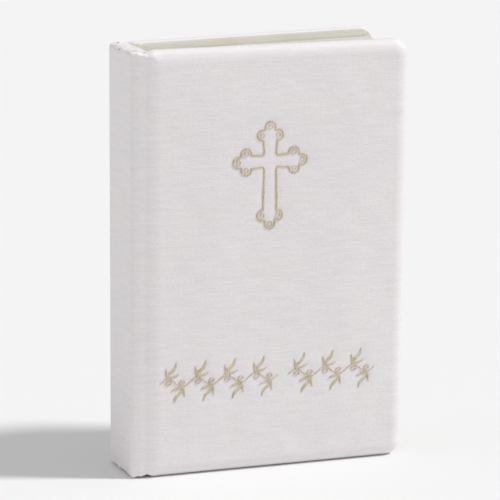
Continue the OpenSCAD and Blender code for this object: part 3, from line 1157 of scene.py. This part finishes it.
def buildLeaves(index):
    f = leafForm
    node = f"section_{index:02d}"
    rng = np.random.default_rng(100 + index)
    half = book["sections"] // 2
    inFront = index <= half
    thick = book["section"]
    start = (index - half - 1) * (thick + book["sectionGap"]) + book["sectionGap"] / 2
    ratio = f["outerRatio"] - f["ratioStep"] * (min(index, book["sections"] + 1 - index) - 1)
    x0 = book["shoulder"] + f["clear"]
    points = []
    faces = []
    rows, cols = f["up"] + 1, f["across"] + 1
    for k in range(f["count"]):
        y = start + (k + 0.5) * thick / f["count"]
        fore = book["leafFore"] - f["clear"] - rng.uniform(0, f["uneven"] * f["foreUneven"])
        head = book["leafHead"] - f["trim"] - rng.uniform(0, f["uneven"])
        tail = book["leafTail"] + f["trim"] + rng.uniform(0, f["uneven"])
        xs = x0 + (fore - x0) * np.linspace(0, 1, cols) ** 1.5
        gx, gz = np.meshgrid(xs, np.linspace(tail, head, rows))
        gy = np.full_like(gx, y) + rng.uniform(-f["sideways"], f["sideways"])
        points.append(np.stack([gx, gy, gz], -1).reshape(-1, 3))
        faces += gridFaces(rows, cols, k * rows * cols)
    pts = np.concatenate(points)
    s = book["shoulder"]
    if inFront:
        weight = ease((pts[:, 0] - s) / f["bend"])
        pts = turned(pts, weight, -ajar * ratio, leafAxisX, leafAxisY)
    obj = newPiece(f"leaves_{index:02d}", pts, faces)
    thicken(obj, f["thick"], 0.0)
    dress(obj, 30, pagePaper, node)
    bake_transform(obj)


for index in range(1, book["sections"] + 1):
    buildLeaves(index)
print("leaves made")


# folded backs of the sections, one fold copied
backForm = {"round": 0.6}


def buildBacks():
    x, y, z = bookBox("section_backs")
    thick = book["section"]
    pitch = thick + book["sectionGap"]
    start = -book["sections"] / 2 * pitch + book["sectionGap"] / 2
    obj = addBox(x, (start, start + thick), z)
    bevelEdges(obj, lambda a, b: max(a.x, b.x) < x[0] + 0.01 and abs(a.z - b.z) > 1, backForm["round"], 5)
    copyAlong(obj, book["sections"], pitch)
    backs = newPiece("sectionBacks", *takeMesh(obj))
    dress(backs, 35, pagePaper, "section_backs")
    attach(backs, "spine")


buildBacks()


# endpapers: the pasted half with its joint, and the free half
paperForm = {
    "thick": 0.14,
    "corner": 2.6,
    "under": 0.9,
    "blockSide": 6.95,
    "climb": 3.2,
    "bend": 3.4,
    "leafShare": 0.58,
}


def buildPasted(name, node, side):
    f = paperForm
    x, y, z = bookBox("back_pastedown")
    x1 = x[1]
    z0, z1 = z
    deep = y[0] + 0.10
    r = f["corner"]
    s = book["shoulder"]
    start = s - f["under"]
    low = np.linspace(z0, z0 + r, 8)[:-1]
    high = np.linspace(z1 - r, z1, 8)[1:]
    zs = np.concatenate([low, np.linspace(z0 + r, z1 - r, 30), high])
    atJoint = np.linspace(start, s + 5, 16)
    atFore = np.linspace(x1 - r, x1, 8)[1:]
    xs = np.concatenate([atJoint, np.linspace(s + 7, x1 - r, 20), atFore])
    gx, gz = np.meshgrid(xs, zs)
    for cz, up in ((z0 + r, -1), (z1 - r, 1)):
        u = (gx - (x1 - r)) / r
        v = (gz - cz) * up / r
        inside = (u > 1e-6) & (v > 1e-6)
        newU, newV = roundCorner(u, v)
        gx = np.where(inside, x1 - r + newU * r, gx)
        gz = np.where(inside, cz + up * newV * r, gz)
    # the paper climbs from the block's side to the cover across the inner joint
    gy = deep - (deep - f["blockSide"]) * (1 - ease((gx - start) / f["climb"]))
    pts = np.stack([gx, gy, gz], -1).reshape(-1, 3)
    faces = gridFaces(len(zs), len(xs))
    if side < 0:
        pts[:, 1] *= -1
        pts = turned(pts, ease((pts[:, 0] - s) / f["bend"]), -ajar, hingeX, hingeY)
        faces = [q[::-1] for q in faces]
    obj = newPiece(name, pts, faces)
    thicken(obj, f["thick"], 0.0)
    dress(obj, 30, endPaper, node)
    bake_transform(obj)


def buildFly(name, node, side):
    x, y, z = bookBox("back_flyleaf")
    s = book["shoulder"]
    bend = leafForm["bend"]
    clear = leafForm["clear"]
    xs = s + clear + (book["leafFore"] - 2 * clear - s) * np.linspace(0, 1, 30) ** 1.3
    gx, gz = np.meshgrid(xs, np.linspace(z[0], z[1], 24))
    pts = np.stack([gx, np.full_like(gx, sum(y) / 2), gz], -1).reshape(-1, 3)
    weight = ease((pts[:, 0] - s) / bend)
    pts[:, 1] += 0.07 * weight * waver(pts, 0.03, 41.0)
    if side < 0:
        pts[:, 1] *= -1
        pts = turned(pts, weight, -ajar * paperForm["leafShare"], leafAxisX, leafAxisY)
    obj = newPiece(name, pts, gridFaces(gx.shape[0], gx.shape[1]))
    thicken(obj, paperForm["thick"], 0.0)
    dress(obj, 30, endPaper, node)
    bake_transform(obj)


buildPasted("frontPastedown", "front_pastedown", -1)
buildPasted("backPastedown", "back_pastedown", 1)
buildFly("frontFlyleaf", "front_flyleaf", -1)
buildFly("backFlyleaf", "back_flyleaf", 1)
print("endpapers made")


# head and tail bands: a core wrapped with thread, over a woven skirt
bandForm = {
    "x": 5.35,
    "radius": 0.72,
    "wrap": 0.36,
    "thread": 0.19,
    "inFromEnd": 0.9,
    "underBead": 0.75,
    "skirt": (3.02, 3.28),
    "shelf": (3.05, 5.35),
    "shelfThick": 0.22,
}


def buildBand(name, node, up):
    # up is 1 at the head and -1 at the tail
    f = bandForm
    x, y, z = bookBox(node)
    outer, foot = (z[1], z[0]) if up > 0 else (z[0], z[1])
    beadZ = outer - up * f["inFromEnd"]
    edgeZ = beadZ - up * f["underBead"]
    upright = (math.radians(90), 0, 0)
    bpy.ops.object.select_all(action="DESELECT")
    bpy.ops.mesh.primitive_torus_add(
        location=(f["x"], y[0] + f["thread"], beadZ), rotation=upright,
        major_segments=18, minor_segments=6, major_radius=f["radius"], minor_radius=f["thread"])
    wrap = bpy.context.object
    applyPlace()
    copyAlong(wrap, int((y[1] - y[0] - 2 * f["thread"]) / f["wrap"]), f["wrap"])
    bpy.ops.object.select_all(action="DESELECT")
    bpy.ops.mesh.primitive_cylinder_add(
        vertices=20, radius=f["radius"], depth=y[1] - y[0] - 0.1,
        location=(f["x"], sum(y) / 2, beadZ), rotation=upright)
    core = bpy.context.object
    applyPlace()
    skirt = addBox(f["skirt"], y, sorted((foot, edgeZ)))
    middle = edgeZ + up * 0.05
    shelf = addBox(f["shelf"], y, (middle - f["shelfThick"] / 2, middle + f["shelfThick"] / 2))
    for part in (wrap, core, skirt, shelf):
        part.select_set(True)
    bpy.context.view_layer.objects.active = wrap
    bpy.ops.object.join()
    pts, faces = takeMesh(wrap)
    band = newPiece(name, pts, faces, np.stack([pts[:, 1] * 4, pts[:, 2] * 3], 1) / mm)
    dress(band, 50, bandCloth, node)
    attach(band, "spine")


buildBand("headBand", "headband", 1)
buildBand("tailBand", "tailband", -1)

# parts kept in their own shape, with a material each
carried = {
    "front_board": greyBoard,
    "back_board": greyBoard,
    "spine_kraft_lining": kraft,
    "spine_mull": mullCloth,
    "front_mull_flap": mullCloth,
    "back_mull_flap": mullCloth,
    "sewing_thread": linen,
}
for node, mat in carried.items():
    obj = frame["nodes"][node]
    obj.data.materials.clear()
    obj.data.materials.append(mat)
print("bands and carried parts finished")


# floor, light and camera
stageForm = {
    "floor": (0.85, 0.85, 0.85),
    "fill": 0.55,
    "sun": 2.13,
    "sunHeight": 50.5,
    "sunSoft": 6.5,
    "card": 0.22,
    "cardHeight": 8.0,
    "cardSoft": 60.0,
    "azimuth": -24.2,
    "elevation": 14.1,
    "roll": 0.5,
    "away": 1.031,
    "lens": 201.6,
    "aim": (-0.0032, 0.0, 0.0807),
}


def addSun(name, strength, soft, toward, colour=(1.0, 1.0, 1.0)):
    light = bpy.data.lights.new(name, "SUN")
    light.energy = strength
    light.angle = math.radians(soft)
    light.color = colour
    lamp = bpy.data.objects.new(name, light)
    lamp.rotation_euler = toward.to_track_quat("Z", "Y").to_euler()
    bpy.context.scene.collection.objects.link(lamp)


def buildFloor():
    bpy.ops.object.select_all(action="DESELECT")
    bpy.ops.mesh.primitive_plane_add(size=12, location=(0, 0, 0))
    floor = bpy.context.object
    floor.name = "floor"
    mat, nodes, links, shader = newMaterial("pale floor", 0.7)
    here = coords(nodes, links, "Object")
    grain = noiseMap(nodes, links, here, 30.0, 2.0)
    light = stageForm["floor"]
    tone = ramp(nodes, links, grain, [(0.3, tuple(v * 0.995 for v in light)), (0.7, light)])
    links.new(tone, shader.inputs["Base Color"])
    shader.inputs["Specular IOR Level"].default_value = 0.1
    floor.data.materials.append(mat)


def buildLight():
    f = stageForm
    world = bpy.data.worlds.new("studio")
    bpy.context.scene.world = world
    world.use_nodes = True
    back = world.node_tree.nodes["Background"]
    back.inputs["Color"].default_value = (1.0, 0.995, 1.0, 1.0)
    back.inputs["Strength"].default_value = f["fill"]
    az = math.radians(f["azimuth"])
    right = Vector((math.cos(az), math.sin(az), 0))
    high = math.radians(f["sunHeight"])
    addSun("window", f["sun"], f["sunSoft"], right * math.cos(high) + Vector((0, 0, math.sin(high))))
    # a weak low light from the spine's side, as from a white card
    low = math.radians(f["cardHeight"])
    toward = right * -math.cos(low) + Vector((0, 0, math.sin(low)))
    addSun("card", f["card"], f["cardSoft"], toward, (0.98, 0.96, 1.0))


def buildCamera():
    f = stageForm
    az = math.radians(f["azimuth"])
    el = math.radians(f["elevation"])
    back = Vector((math.sin(az) * math.cos(el), -math.cos(az) * math.cos(el), math.sin(el)))
    cam = bpy.data.cameras.new("view")
    cam.lens = f["lens"]
    cam.sensor_width = 36
    cam.clip_start = 0.05
    cam.clip_end = 30
    eye = bpy.data.objects.new("view", cam)
    turn = back.to_track_quat("Z", "Y").to_matrix() @ Matrix.Rotation(math.radians(f["roll"]), 3, "Z")
    eye.matrix_world = Matrix.Translation(Vector(f["aim"]) + back * f["away"]) @ turn.to_4x4()
    bpy.context.scene.collection.objects.link(eye)
    bpy.context.scene.camera = eye


buildFloor()
buildLight()
buildCamera()
bpy.context.scene.view_settings.view_transform = "Standard"
print("stage and camera set")
